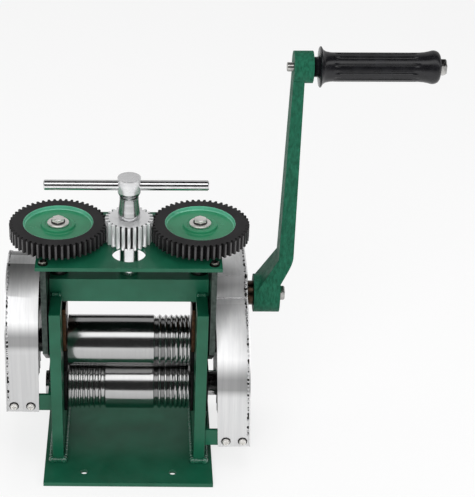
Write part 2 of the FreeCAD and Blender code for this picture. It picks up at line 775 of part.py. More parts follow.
def plate_bolts():
    bolts = []
    for side in (LEFT, RIGHT):
        for y in (-plate_bolt_y, plate_bolt_y):
            x = side * (hanger_x + hanger_thickness / 2)
            shank = rod_z(plate_bolt_radius, top_plate_top - plate_bolt_length, top_plate_top, x, y)
            head = hexagon_z(plate_bolt_flats, top_plate_top, top_plate_top + plate_bolt_head, x, y)
            bolts.append(shank.fuse(head))
    return Part.makeCompound(bolts)


# ---- adjusting train ----

def adjust_screw(side):
    """Threaded in the yoke, with a shoulder that lifts the top plate and a neck for the gear."""
    x = side * screw_x
    shank = rod_z(screw_radius, upper_bearing_top, top_plate_bottom, x, 0)
    top = gear_top - adjust_hub_sink
    neck = rod_z(screw_neck_radius, top_plate_bottom, top - neck_sink, x, 0)
    screw = shank.fuse(neck).removeSplitter()
    return screw.cut(rod_z(gear_bolt_radius, top - gear_bolt_length, top, x, 0))


def adjust_gear(side):
    pitch_radius = adjust_module * adjust_gear_teeth / 2
    solid = gear(adjust_gear_teeth, pitch_radius, adjust_addendum, adjust_dedendum, adjust_tooth,
                 adjust_gear_thickness, math.pi / adjust_gear_teeth)
    hub_top = adjust_gear_thickness - adjust_hub_sink
    floor = adjust_gear_thickness - adjust_recess_depth
    recess = rod_z(adjust_recess_radius, floor, adjust_gear_thickness, 0, 0)
    hub = rod_z(adjust_hub_radius, floor, hub_top, 0, 0)
    boss = rod_z(adjust_boss_radius, seat - adjust_gear_gap, 0, 0, 0)
    solid = solid.cut(recess).fuse([hub, boss]).removeSplitter()
    neck_end = hub_top - neck_sink
    solid = solid.cut(rod_z(screw_neck_radius, seat - adjust_gear_gap, neck_end, 0, 0))
    solid = solid.cut(rod_z(gear_bolt_radius, neck_end, hub_top, 0, 0))
    solid.translate(Vector(side * screw_x, 0, gear_bottom))
    return solid


def gear_washer(side):
    top = gear_top - adjust_hub_sink
    washer = rod_z(gear_washer_radius, top, top + gear_washer_thickness, side * screw_x, 0)
    return washer.cut(rod_z(gear_bolt_radius, top, top + gear_washer_thickness, side * screw_x, 0))


def gear_bolt(side):
    seat_z = gear_top - adjust_hub_sink + gear_washer_thickness
    bottom = gear_top - adjust_hub_sink - gear_bolt_length
    shank = rod_z(gear_bolt_radius, bottom, seat_z, side * screw_x, 0)
    head = hexagon_z(gear_bolt_flats, seat_z, seat_z + gear_bolt_head, side * screw_x, 0)
    return shank.fuse(head)


def centre_pinion():
    pitch_radius = adjust_module * adjust_pinion_teeth / 2
    solid = gear(adjust_pinion_teeth, pitch_radius, adjust_addendum, adjust_dedendum, adjust_tooth,
                 pinion_height, 0)
    solid = solid.cut(rod_z(spindle_radius, 0, pinion_height, 0, 0))
    solid.translate(Vector(0, 0, pinion_bottom))
    return solid


def pinion_spindle():
    return rod_z(spindle_radius, yoke_top - spindle_depth, pinion_top, 0, 0)


def t_post():
    profile = [(post_flare_radius, pinion_top), (post_flare_radius, pinion_top + post_flare_z),
               (post_waist_radius, pinion_top + post_waist_z), (post_head_radius, pinion_top + post_head_z),
               (post_head_radius, pinion_top + post_height)]
    post = turned_z(profile, 0, 0)
    return post.cut(rod_x(bar_radius, -post_head_radius, post_head_radius, 0, pinion_top + bar_height))


def t_bar():
    start = bar_offset - bar_length / 2
    end = bar_offset + bar_length / 2
    profile = [(start, bar_radius - bar_chamfer), (start + bar_chamfer, bar_radius),
               (end - bar_chamfer, bar_radius), (end, bar_radius - bar_chamfer)]
    return turned_x(profile, 0, pinion_top + bar_height)


def build():
    save("base_plate", base_plate())
    save("yoke_bar", yoke_bar())
    save("frame_welds", frame_welds())
    save("left_guard", left_guard())
    save("right_guard", right_guard())
    save("guard_screws", guard_screws())
    save("crank_bushes", crank_bushes())
    save("top_plate", top_plate())
    save("plate_bolts", plate_bolts())
    for side, name in ((LEFT, "left"), (RIGHT, "right")):
        save(name + "_upright", upright(side))
        save(name + "_lower_bearing", lower_bearing(side))
        save(name + "_upper_bearing", upper_bearing(side))
        save(name + "_hanger", hanger(side))
        save(name + "_adjust_screw", adjust_screw(side))
        save(name + "_adjust_gear", adjust_gear(side))
        save(name + "_gear_washer", gear_washer(side))
        save(name + "_gear_bolt", gear_bolt(side))
    for frame in guard_frames():
        name = "left" if frame[0] == LEFT else "right"
        save(name + "_guard_brackets", guard_brackets(*frame))
    save("centre_pinion", centre_pinion())
    save("pinion_spindle", pinion_spindle())
    save("t_post", t_post())
    save("t_bar", t_bar())
    save("upper_roller", upper_roller())
    save("lower_roller", lower_roller())
    save("driven_gear", driven_gear())
    save("upper_sync_gear", sync_gear(upper_axis_z, -math.pi / 2))
    save("lower_sync_gear", sync_gear(lower_axis_z, math.pi / 2 + math.pi / sync_teeth))
    upper_nuts = [roller_nut(side, upper_axis_z) for side in (LEFT, RIGHT)]
    save("upper_roller_nuts", Part.makeCompound(upper_nuts))
    save("lower_roller_nut", roller_nut(RIGHT, lower_axis_z))
    save("drive_pinion", drive_pinion())
    save("crank_shaft", crank_shaft())
    save("crank_collar", crank_collar())
    save("crank_arm", crank_arm())
    save("crank_bolt", crank_bolt())
    save("handle_axle", handle_axle())
    save("handle_grip", handle_grip())


os.makedirs("parts", exist_ok=True)
build()
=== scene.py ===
import bmesh
import bpy
import math
from mathutils import Matrix, Vector


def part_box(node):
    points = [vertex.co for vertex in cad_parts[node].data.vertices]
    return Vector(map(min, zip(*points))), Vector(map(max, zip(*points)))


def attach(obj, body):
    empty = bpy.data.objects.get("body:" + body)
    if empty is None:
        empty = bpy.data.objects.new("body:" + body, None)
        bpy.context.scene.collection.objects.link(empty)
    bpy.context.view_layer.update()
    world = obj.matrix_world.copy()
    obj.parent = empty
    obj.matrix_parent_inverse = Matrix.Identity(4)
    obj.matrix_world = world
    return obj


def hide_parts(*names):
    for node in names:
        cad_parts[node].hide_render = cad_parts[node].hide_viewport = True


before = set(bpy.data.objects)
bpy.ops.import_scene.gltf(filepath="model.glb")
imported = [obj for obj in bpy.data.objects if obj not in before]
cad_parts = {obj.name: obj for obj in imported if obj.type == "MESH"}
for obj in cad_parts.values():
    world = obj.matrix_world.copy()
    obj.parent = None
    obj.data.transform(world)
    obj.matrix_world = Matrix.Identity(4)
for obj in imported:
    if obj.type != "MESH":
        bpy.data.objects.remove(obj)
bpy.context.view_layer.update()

# Sizes are in millimetres and MM makes metres of them; MERGE_M and the bump distances are metres.
# A face looks along an axis when its normal has more than FACING of it, and a shank ends OVERLAP inside its
# head.
MM = 0.001
MERGE_M = 2e-6
FACING = 0.9
OVERLAP = 0.1
scene = bpy.context.scene
scene.view_settings.view_transform = "Standard"


# ---- nodes of a finish

def new_finish(name):
    """A new material, with its node tree and its main shader."""
    material = bpy.data.materials.new(name)
    material.use_nodes = True
    tree = material.node_tree
    return material, tree, tree.nodes["Principled BSDF"]


def node_of(tree, kind, **settings):
    """A new node; each setting names one of its inputs, or else one of its properties."""
    node = tree.nodes.new(kind)
    for key, value in settings.items():
        if key in node.inputs:
            node.inputs[key].default_value = value
        else:
            setattr(node, key, value)
    return node


def wire(tree, source, node, socket):
    tree.links.new(source, node.inputs[socket])


def set_levels(node, levels):
    """Sets inputs whose names aren't plain words."""
    for socket, level in levels.items():
        node.inputs[socket].default_value = level


def object_place(tree, stretch=(1, 1, 1)):
    """Object coordinates, stretched by a Mapping node."""
    coordinate = tree.nodes.new("ShaderNodeTexCoord")
    mapping = node_of(tree, "ShaderNodeMapping", Scale=stretch)
    wire(tree, coordinate.outputs["Object"], mapping, "Vector")
    return mapping.outputs["Vector"]


def speckle(tree, scale, detail=3.0, stretch=(1, 1, 1), roughness=0.5):
    """Cloudy noise on the piece; scale is how many spots fit in a metre."""
    noise = node_of(tree, "ShaderNodeTexNoise", Scale=scale, Detail=detail, Roughness=roughness)
    wire(tree, object_place(tree, stretch), noise, "Vector")
    return noise.outputs["Fac"]


def colour_between(tree, source, low, high, start=0.3, stop=0.7):
    """Turns a level into a colour: low up to start, high from stop on."""
    ramp = tree.nodes.new("ShaderNodeValToRGB")
    for element, position, colour in zip(ramp.color_ramp.elements, (start, stop), (low, high)):
        element.position = position
        element.color = (*colour, 1)
    wire(tree, source, ramp, "Fac")
    return ramp.outputs["Color"]


def value_between(tree, source, low, high, start=0.3, stop=0.7):
    """Turns a level into another level: low up to start, high from stop on."""
    mapped = tree.nodes.new("ShaderNodeMapRange")
    set_levels(mapped, {"From Min": start, "From Max": stop, "To Min": low, "To Max": high})
    wire(tree, source, mapped, "Value")
    return mapped.outputs["Result"]


def bump_from(tree, shader, source, strength, distance):
    """Raises a surface by a level, up to a distance in metres."""
    bump = node_of(tree, "ShaderNodeBump", Strength=strength, Distance=distance)
    wire(tree, source, bump, "Height")
    wire(tree, bump.outputs["Normal"], shader, "Normal")


# ---- kinds of finish

def grey(level):
    return (level,) * 3


def enamel(name, deep, pale, rough=0.28, coat=0.12, shine=0.34):
    """Sprayed gloss enamel with slight mottling, faint orange peel and duller patches."""
    material, tree, shader = new_finish(name)
    mottling = speckle(tree, scale=38, detail=4)
    patches = speckle(tree, scale=90)
    orange_peel = speckle(tree, scale=900, detail=2)
    dullest = rough + 0.14
    wire(tree, colour_between(tree, mottling, deep, pale), shader, "Base Color")
    wire(tree, value_between(tree, patches, rough, dullest), shader, "Roughness")
    bump_from(tree, shader, orange_peel, strength=0.06, distance=0.0004)
    set_levels(shader, {"Specular IOR Level": shine, "Coat Weight": coat, "Coat Roughness": 0.12})
    return material


def cast_enamel(name, deep, pale):
    """Enamel over a rough casting: blotches of colour and a grainy skin."""
    material, tree, shader = new_finish(name)
    blotches = speckle(tree, scale=430, detail=6, stretch=(1, 1, 0.4), roughness=0.72)
    patches = speckle(tree, scale=110)
    wire(tree, colour_between(tree, blotches, deep, pale, start=0.30, stop=0.66), shader, "Base Color")
    wire(tree, value_between(tree, patches, low=0.42, high=0.62), shader, "Roughness")
    bump_from(tree, shader, blotches, strength=0.4, distance=0.0004)
    set_levels(shader, {"Specular IOR Level": 0.16})
    return material


def metal(name, dark, light, rough, stretch=(1, 1, 1), scale=300, bump=0.05, distance=0.00005, bare=1.0):
    """Bare metal with tool marks drawn out along one way and patches of dullness."""
    material, tree, shader = new_finish(name)
    marks = speckle(tree, scale, detail=4, stretch=stretch)
    patches = speckle(tree, scale=45)
    wire(tree, colour_between(tree, marks, dark, light), shader, "Base Color")
    wire(tree, value_between(tree, patches, *rough), shader, "Roughness")
    bump_from(tree, shader, marks, bump, distance)
    set_levels(shader, {"Metallic": bare})
    return material


def moulding(name, dark, light, rough, shine=0.45):
    """Plastic or blackened surface with a fine grain."""
    material, tree, shader = new_finish(name)
    blotches = speckle(tree, scale=120, detail=4)
    patches = speckle(tree, scale=60, detail=2)
    grain = speckle(tree, scale=1400, detail=2)
    wire(tree, colour_between(tree, blotches, dark, light), shader, "Base Color")
    wire(tree, value_between(tree, patches, *rough), shader, "Roughness")
    bump_from(tree, shader, grain, strength=0.08, distance=0.00008)
    set_levels(shader, {"Specular IOR Level": shine})
    return material


def painted_reflection_bands(tree, peak, period, plain):
    """Soft bright and dull bands across a strip where it was rolled round, painted reflections of its bend:
    peak is the height of a bright one and period the rise to the next. The straight leg below the first of
    them is plain."""
    # At a scale of 1 the bands of a wave texture lie 2 pi / 20 metres apart.
    scale = 2 * math.pi / 20 / (period * MM)
    first_band = peak - period / 2
    fade_bottom, fade_top = first_band - 14, first_band - 5
    spot = tree.nodes.new("ShaderNodeTexCoord").outputs["Object"]
    wave = node_of(tree, "ShaderNodeTexWave", wave_type="BANDS", bands_direction="Z", wave_profile="SIN",
                   Scale=scale, Distortion=0.35)
    set_levels(wave, {"Phase Offset": math.pi - 2 * math.pi * peak / period})
    wire(tree, spot, wave, "Vector")
    split = tree.nodes.new("ShaderNodeSeparateXYZ")
    wire(tree, spot, split, "Vector")
    above = value_between(tree, split.outputs["Z"], 0, 1, start=fade_bottom * MM, stop=fade_top * MM)
    mix = node_of(tree, "ShaderNodeMix", data_type="FLOAT", A=plain)
    wire(tree, above, mix, "Factor")
    wire(tree, wave.outputs["Fac"], mix, "B")
    return mix.outputs["Result"]


def galvanised_sheet(name, dull, bright, bands=None):
    """Cut galvanised sheet: fine streaks down its length and, where it is rolled round, soft painted
    reflection bands across. bands holds the peak, period and plain level of these painted bands."""
    material, tree, shader = new_finish(name)
    streaks = speckle(tree, scale=420, detail=4, stretch=(1, 0.12, 0.025), roughness=0.65)
    shades = painted_reflection_bands(tree, *bands) if bands else speckle(tree, scale=12, detail=2)
    mix = node_of(tree, "ShaderNodeMix", data_type="RGBA", blend_type="MULTIPLY", Factor=1.0)
    wire(tree, colour_between(tree, streaks, (0.84, 0.84, 0.85), grey(1)), mix, "A")
    wire(tree, colour_between(tree, shades, grey(dull), grey(bright), start=0.05, stop=0.72), mix, "B")
    wire(tree, mix.outputs["Result"], shader, "Base Color")
    wire(tree, value_between(tree, streaks, low=0.34, high=0.48), shader, "Roughness")
    bump_from(tree, shader, streaks, strength=0.16, distance=0.0001)
    set_levels(shader, {"Metallic": 0.25})
    return material


# ---- finishes

green = enamel("green_enamel", (0.004, 0.072, 0.036), (0.009, 0.104, 0.056))
green_bead = enamel("green_weld_bead", (0.004, 0.060, 0.030), (0.012, 0.110, 0.064),
                    rough=0.05, coat=1.0, shine=0.9)
green_web = enamel("green_gear_web", (0.018, 0.175, 0.080), (0.027, 0.225, 0.108),
                   rough=0.14, coat=0.25, shine=0.4)
# Painted highlight: a light green for the outer edge of the gear web.
web_edge_painted_highlight = enamel("green_web_edge_painted_highlight", (0.060, 0.330, 0.190), (0.110, 0.450, 0.290),
                    rough=0.10, coat=1.0, shine=0.8)
# Painted shade for undersides: a near-black green.
green_painted_shade_below = enamel("green_underside_painted_shade", (0.001, 0.008, 0.005), (0.002, 0.012, 0.008),
                     rough=0.5, coat=0, shine=0.1)
cast_green = cast_enamel("green_cast_enamel", (0.003, 0.046, 0.024), (0.014, 0.130, 0.074))

black_rim = moulding("black_gear_rim", (0.004, 0.0035, 0.004), (0.012, 0.011, 0.012), (0.34, 0.50),
                     shine=0.26)
# Painted highlight on the tips of the black teeth, and painted shade on the floors of their gaps.
tip_painted_highlight = moulding("black_tooth_tip_painted_highlight", (0.020, 0.019, 0.020), (0.050, 0.047, 0.049), (0.20, 0.32),
                     shine=0.6)
gap_painted_shade = moulding("black_tooth_gap_painted_shade", (0.0010, 0.0009, 0.0010), grey(0.003), (0.6, 0.7), shine=0.1)
black_grip = moulding("black_grip", (0.004, 0.004, 0.005), (0.010, 0.010, 0.012), (0.22, 0.34))

black_bearing = metal("blackened_steel", (0.008, 0.008, 0.009), (0.028, 0.027, 0.027), (0.30, 0.50))
brown_bearing = metal("browned_bronze", (0.026, 0.014, 0.008), (0.095, 0.050, 0.028), (0.28, 0.46))
brown_collar = metal("browned_collar", (0.020, 0.014, 0.010), (0.085, 0.056, 0.038), (0.22, 0.38))
dark_steel = metal("oiled_steel", grey(0.05), (0.14, 0.135, 0.13), (0.26, 0.42))
# Painted shade for the floors of the pinion's tooth gaps.
tooth_gap = metal("pinion_tooth_gap_painted_shade", grey(0.012), (0.05, 0.05, 0.048), (0.40, 0.55))

ground_steel = metal("ground_steel", grey(0.45), grey(0.49), (0.13, 0.17),
                     stretch=(1, 0.02, 0.02), scale=1600, bump=0.002)
bright_steel = metal("bright_steel", (0.70, 0.70, 0.71), (0.86, 0.86, 0.87), (0.14, 0.24),
                     scale=140, bump=0.02)
# Painted light: a lighter copy of the turned steel for the post's head.
post_steel = metal("post_head_steel_painted_light", (0.68, 0.68, 0.69), (0.82, 0.82, 0.83), (0.20, 0.30),
                   stretch=(0.1, 0.1, 1), bump=0.02, bare=0.72)
waist_steel = metal("turned_waist_steel", (0.44, 0.45, 0.45), (0.60, 0.60, 0.61), (0.16, 0.26),
                    stretch=(0.1, 0.1, 1), bump=0.02)
cut_steel = metal("cut_gear_steel", (0.88, 0.88, 0.89), (0.96, 0.96, 0.97), (0.20, 0.28),
                  stretch=(1, 1, 0.05), bump=0.01, bare=0.62)
plated_steel = metal("plated_bolt_steel", (0.30, 0.30, 0.29), (0.60, 0.59, 0.57), (0.16, 0.28),
                     scale=160, bump=0.03)
screw_steel = metal("zinc_plated_steel", (0.68, 0.67, 0.64), (0.92, 0.90, 0.87), (0.20, 0.34),
                    scale=160, bump=0.03, bare=0.72)
# Painted shade: a darker steel for the plate bolts, which lie in the shade of the gears.
bolt_steel = metal("plate_bolt_steel_painted_shade", (0.10, 0.095, 0.085), (0.46, 0.44, 0.40), (0.22, 0.36), scale=520)
hanger_steel = metal("hanger_steel", grey(0.02), (0.13, 0.13, 0.125), (0.28, 0.42),
                     stretch=(1, 1, 0.03), scale=420, bump=0.12)
# Painted light: a lighter green-grey for the hangers' front and back edges, with a green tint of reflection.
hanger_lit_edge = metal("hanger_edge_painted_light", (0.015, 0.024, 0.020), (0.060, 0.080, 0.070), (0.30, 0.42), bare=0.6)
seam_steel = metal("weld_seam_steel", (0.50, 0.50, 0.51), (0.92, 0.92, 0.93), (0.24, 0.40),
                   scale=260, bump=0.2, distance=0.0002)
# Dark weld burn along the guard seams; the same dark is painted shade in screw recesses and on the washers
# round bolt heads.
burn_and_painted_shade = metal("weld_burn_and_painted_shade", (0.008, 0.008, 0.009), (0.05, 0.048, 0.045), (0.40, 0.60))

# Painted light: a lighter copy of the sheet for the level tops of the guards.
sheet_top_painted_light = galvanised_sheet("galvanised_top_painted_light", 0.80, 1.0)
sheet_plate = galvanised_sheet("galvanised_plate", 0.40, 0.58)
# Painted reflection bands on the rolled strips: peak, period and plain level.
left_strip = galvanised_sheet("galvanised_left_strip", 0.29, 0.98, bands=(162, 58, 0.31))
right_strip = galvanised_sheet("galvanised_right_strip", 0.30, 1.0, bands=(130, 82, 0.42))


# ---- sizes taken from the frame

def span(node):
    """The low and high corners of a node's box."""
    low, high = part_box(node)
    return [value / MM for value in low], [value / MM for value in high]


def halfway(low, high):
    return [(a + b) / 2 for a, b in zip(low, high)]


def middle(node):
    return halfway(*span(node))


# ---- meshes

def mesh_from(form, name):
    """Ends the work on a form and gives its mesh."""
    mesh = bpy.data.meshes.new(name)
    form.to_mesh(mesh)
    form.free()
    return mesh


def merged_form(node):
    """A node's loose triangles, with their shared corners merged."""
    form = bmesh.new()
    form.from_mesh(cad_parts[node].data)
    bmesh.ops.remove_doubles(form, verts=form.verts, dist=MERGE_M)
    return form


def joined_copy(node):
    """The node's mesh with its triangles joined into flat faces."""
    form = merged_form(node)
    flat = math.radians(0.8)
    bmesh.ops.dissolve_limit(form, angle_limit=flat, verts=form.verts, edges=form.edges)
    return mesh_from(form, node)


def join_meshes(name, meshes):
    form = bmesh.new()
    for mesh in meshes:
        form.from_mesh(mesh)
    return mesh_from(form, name)


def loose_parts(node):
    """The low and high corners of each loose part of a node."""
    form = merged_form(node)
    left = set(form.verts)
    parts = []
    while left:
        stack = [left.pop()]
        seen = []
        while stack:
            vert = stack.pop()
            seen.append(vert.co.copy())
            for edge in vert.link_edges:
                other = edge.other_vert(vert)
                if other in left:
                    left.remove(other)
                    stack.append(other)
        low = [min(co[i] for co in seen) / MM for i in range(3)]
        high = [max(co[i] for co in seen) / MM for i in range(3)]
        parts.append((low, high))
    form.free()
    return sorted(parts)


def ring_about(centre, axis, along, reach, steps, turn=0.0):
    """Points of a ring round an axis through centre; reach is a radius, or a function of the angle."""
    points = []
    for i in range(steps):
        angle = turn + 2 * math.pi * i / steps
        radius = reach(angle) if callable(reach) else reach
        a, b = radius * math.cos(angle), radius * math.sin(angle)
        if axis == "X":
            points.append((along, centre[1] + a, centre[2] + b))
        elif axis == "Y":
            points.append((centre[0] + a, along, centre[2] + b))
        else:
            points.append((centre[0] + a, centre[1] + b, along))
    return points


def body_of_rings(name, rings, second_from=math.inf):
    """A closed body through rings of points, with a flat face at each end. From the ring numbered
    second_from on, its faces have the second finish."""
    form = bmesh.new()
    loops = [[form.verts.new([value * MM for value in point]) for point in ring] for ring in rings]
    steps = len(loops[0])
    for level, (loop, after) in enumerate(zip(loops, loops[1:])):
        for i in range(steps):
            wall = form.faces.new((loop[i], loop[(i + 1) % steps], after[(i + 1) % steps], after[i]))
            wall.material_index = int(level >= second_from)
    form.faces.new(loops[0][::-1])
    form.faces.new(loops[-1]).material_index = int(len(loops) > second_from)
    bmesh.ops.recalc_face_normals(form, faces=form.faces)
    return mesh_from(form, name)


def turned(name, profile, centre, axis, steps, radius_at=None):
    """A body turned about an axis through centre; profile holds (along, radius), closed at both ends.
    radius_at works the radius out where it changes with the angle."""
    rings = []
    for along, radius in profile:
        reach = (lambda angle: radius_at(along, radius, angle)) if radius_at else radius
        rings.append(ring_about(centre, axis, along, reach, steps))
    return body_of_rings(name, rings)


def hexagon_head(centre, axis, start, end, flats, turn=math.pi / 6):
    """A hexagon head with a chamfered crown, from start to end along an axis."""
    corner = flats / math.sqrt(3)
    crown = 0.22 * (end - start)
    crown_share = 0.82
    rings = []
    for along, share in ((start, 1.0), (end - crown, 1.0), (end, crown_share)):
        rings.append(ring_about(centre, axis, along, corner * share, 6, turn))
    return body_of_rings("head", rings)


# ---- pieces

def add_piece(name, mesh, *finishes):
    """Puts a mesh in the scene with its finishes."""
    piece = bpy.data.objects.new(name, mesh)
    scene.collection.objects.link(piece)
    mesh.materials.clear()
    for finish in finishes:
        mesh.materials.append(finish)
    return piece


def joined_piece(name, meshes, *finishes):
    return add_piece(name, join_meshes(name, meshes), *finishes)


def bake(piece):
    """Applies the modifiers of a piece to its mesh."""
    graph = bpy.context.evaluated_depsgraph_get()
    graph.update()
    shown = piece.evaluated_get(graph)
    baked = bpy.data.meshes.new_from_object(shown, preserve_all_data_layers=True, depsgraph=graph)
    piece.modifiers.clear()
    piece.data = baked
    return piece


def soften(piece, width, segments=2):
    """Small rounds or chamfers on the edges."""
    bevel = piece.modifiers.new("edge", "BEVEL")
    bevel.width = width * MM
    bevel.segments = segments
    bevel.limit_method = "ANGLE"
    bevel.angle_limit = math.radians(42)
    bevel.harden_normals = False
    return bake(piece)


def smooth_by_angle(piece, degrees):
    """Smooth shading over the edges that bend less than the angle."""
    mesh = piece.data
    mesh.polygons.foreach_set("use_smooth", [True] * len(mesh.polygons))
    mesh.set_sharp_from_angle(angle=math.radians(degrees))
    return piece


def turned_piece(name, profile, centre, axis, steps, finish, degrees=30):
    """A turned body as a piece, smooth over the edges that bend less than the angle."""
    return smooth_by_angle(add_piece(name, turned(name, profile, centre, axis, steps), finish), degrees)


def break_edges(piece, width, segments=2):
    """Rounds the edges and lets the wide flat faces set the shading, so that only the rounds look round."""
    smooth_by_angle(soften(piece, width, segments), degrees=50)
    weigh = piece.modifiers.new("shading", "WEIGHTED_NORMAL")
    weigh.mode = "FACE_AREA"
    weigh.keep_sharp = True
    return bake(piece)


def paint_faces(piece, finish, is_painted):
    """Gives the faces that pass the test a finish of their own."""
    piece.data.materials.append(finish)
    index = len(piece.data.materials) - 1
    for face in piece.data.polygons:
        if is_painted(face):
            face.material_index = index


def place(piece, body, slot, *nodes):
    """Attaches a piece to its body and hides the nodes that it stands for; slot is not used."""
    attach(piece, body)
    if nodes:
        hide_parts(*nodes)
    return piece


def finished(node, body, slot, finish, edge=0.5, segments=2):
    """A node's own form with broken edges and a finish."""
    piece = add_piece(node + "_finished", joined_copy(node), finish)
    if edge:
        break_edges(piece, edge, segments)
    else:
        smooth_by_angle(piece, degrees=32)
    return place(piece, body, slot, node)


# ---- frame

def paint_shade_below(piece):
    """Painted shade: dark paint on the underside."""
    paint_faces(piece, green_painted_shade_below, lambda face: face.normal.z < -FACING)


for node in ("base_plate", "left_upright", "right_upright"):
    finished(node, "frame", "green_paint", green, edge=0.7)
paint_shade_below(finished("yoke_bar", "frame", "green_paint", green, edge=0.7))
for node in ("left_guard_brackets", "right_guard_brackets"):
    finished(node, "frame", "green_paint", green)
for node in ("left_lower_bearing", "right_lower_bearing"):
    finished(node, "frame", "blackened_steel", black_bearing, edge=0.4)
finished("crank_bushes", "frame", "bronze", brown_bearing, edge=0)


# ---- guards

def guard_sheet(node, strip_finish):
    """Bent strip with its own painted reflection bands; the flat plate has plain sheet and the level top the
    sheet in a lighter copy, as painted light.
    """
    on_plate, level = 0.5, 0.985
    piece = add_piece(node + "_sheet", joined_copy(node), strip_finish)
    paint_faces(piece, sheet_plate, lambda face: abs(face.normal.x) > on_plate)
    paint_faces(piece, sheet_top_painted_light, lambda face: face.normal.z > level)
    smooth_by_angle(piece, degrees=32)
    place(piece, "frame", "galvanised_sheet", node)


def cross_share(angle):
    """How far the edge of a cross recess reaches at an angle, as a share of the head's radius."""
    core, arm = 0.10, 0.60
    return core + arm * math.cos(2 * angle) ** 2


def dome_screw(name, centre, seat, facing, radius, height):
    """A domed head with a cross recess, along Y from its seat; facing is the way the head points."""
    steps = 40
    dome = [(1.0, 0.0), (1.0, 0.35), (0.95, 0.62), (0.87, 0.84), (0.80, 0.96), (0.74, 1.0)]
    recess = [(1.0, 1.0), (0.9, 0.45)]
    rings = []
    for share, rise in dome:
        rings.append(ring_about(centre, "Y", seat + facing * rise * height, share * radius, steps))
    for share, rise in recess:
        rings.append(ring_about(centre, "Y", seat + facing * rise * height,
                                lambda angle: share * radius * cross_share(angle), steps))
    return body_of_rings(name, rings, second_from=len(dome))


def guard_screw_pieces():
    """Domed heads with their cross recesses painted dark as painted shade, on spring washers painted dark as
    the shade round each head.
    """
    washer_thickness = 0.8
    head_share = 0.77
    heads, washers = [], []
    for low, high in loose_parts("guard_screws"):
        centre = halfway(low, high)
        facing, seat = (-1, high[1]) if low[1] < 0 else (1, low[1])
        radius = (high[0] - low[0]) / 2
        heads.append(dome_screw("head", centre, seat + facing * washer_thickness, facing,
                                radius * head_share, high[1] - low[1] - washer_thickness))
        washers.append(dome_screw("washer", centre, seat, facing, radius, washer_thickness))
    # The cross recess takes the second finish, as painted shade.
    head_piece = joined_piece("guard_screw_heads", heads, screw_steel, burn_and_painted_shade)
    place(smooth_by_angle(head_piece, degrees=40), "frame", "zinc_steel", "guard_screws")
    washer_piece = joined_piece("guard_screw_washers", washers, burn_and_painted_shade, burn_and_painted_shade)
    place(smooth_by_angle(washer_piece, degrees=40), "frame", "blackened_steel")


guard_sheet("left_guard", left_strip)
guard_sheet("right_guard", right_strip)
guard_screw_pieces()


# ---- weld beads

def seam_tree():
    """Overlapping ripples of weld along a path. Least is the smallest share of the full radius and Kept
    the share of ripples that are there."""
    tree = bpy.data.node_groups.new("weld_seam", "GeometryNodeTree")
    face = tree.interface
    face.new_socket(name="Path", in_out="INPUT", socket_type="NodeSocketGeometry")
    usual = {"Pitch": 0.002, "Radius": 0.003, "Stretch": 0.75, "Least": 0.78, "Kept": 1.0}
    for name, value in usual.items():
        socket = face.new_socket(name=name, in_out="INPUT", socket_type="NodeSocketFloat")
        socket.default_value = value
    face.new_socket(name="Finish", in_out="INPUT", socket_type="NodeSocketMaterial")
    face.new_socket(name="Geometry", in_out="OUTPUT", socket_type="NodeSocketGeometry")
    given = tree.nodes.new("NodeGroupInput").outputs
    line = tree.nodes.new("GeometryNodeMeshToCurve")
    wire(tree, given["Path"], line, "Mesh")
    dots = node_of(tree, "GeometryNodeCurveToPoints", mode="LENGTH")
    wire(tree, line.outputs["Curve"], dots, "Curve")
    wire(tree, given["Pitch"], dots, "Length")
    ripple = node_of(tree, "GeometryNodeMeshIcoSphere", Subdivisions=2)
    wire(tree, given["Radius"], ripple, "Radius")
    swell = node_of(tree, "FunctionNodeRandomValue", data_type="FLOAT", Seed=7)
    swell.inputs[3].default_value = 1.0
    wire(tree, given["Least"], swell, 2)
    keep = node_of(tree, "FunctionNodeRandomValue", data_type="BOOLEAN", Seed=12)
    wire(tree, given["Kept"], keep, "Probability")
    size = tree.nodes.new("ShaderNodeCombineXYZ")
    wire(tree, swell.outputs[1], size, "X")
    wire(tree, swell.outputs[1], size, "Y")
    wire(tree, given["Stretch"], size, "Z")
    row = tree.nodes.new("GeometryNodeInstanceOnPoints")
    wire(tree, dots.outputs["Points"], row, "Points")
    wire(tree, dots.outputs["Rotation"], row, "Rotation")
    wire(tree, ripple.outputs["Mesh"], row, "Instance")
    wire(tree, keep.outputs[3], row, "Selection")
    wire(tree, size.outputs["Vector"], row, "Scale")
    real = tree.nodes.new("GeometryNodeRealizeInstances")
    wire(tree, row.outputs["Instances"], real, "Geometry")
    paint = tree.nodes.new("GeometryNodeSetMaterial")
    wire(tree, real.outputs["Geometry"], paint, "Geometry")
    wire(tree, given["Finish"], paint, "Material")
    wire(tree, paint.outputs["Geometry"], tree.nodes.new("NodeGroupOutput"), "Geometry")
    return tree


def socket_id(tree, name):
    """The identifier of an input of a node group."""
    for item in tree.interface.items_tree:
        if item.item_type == "SOCKET" and item.in_out == "INPUT" and item.name == name:
            return item.identifier


weld_tree = seam_tree()


def seam_mesh(points, pitch, radius, stretch, finish, least=0.78, kept=1.0):
    """One seam along a path of points."""
    path = bpy.data.meshes.new("seam")
    corners = [[value * MM for value in point] for point in points]
    path.from_pydata(corners, [(i, i + 1) for i in range(len(points) - 1)], [])
    piece = add_piece("seam", path)
    modifier = piece.modifiers.new("seam", "NODES")
    modifier.node_group = weld_tree
    settings = {"Pitch": pitch * MM, "Radius": radius * MM, "Stretch": stretch, "Least": least,
                "Kept": kept, "Finish": finish}
    for name, value in settings.items():
        modifier[socket_id(weld_tree, name)] = value
    mesh = bake(piece).data
    bpy.data.objects.remove(piece)
    return mesh


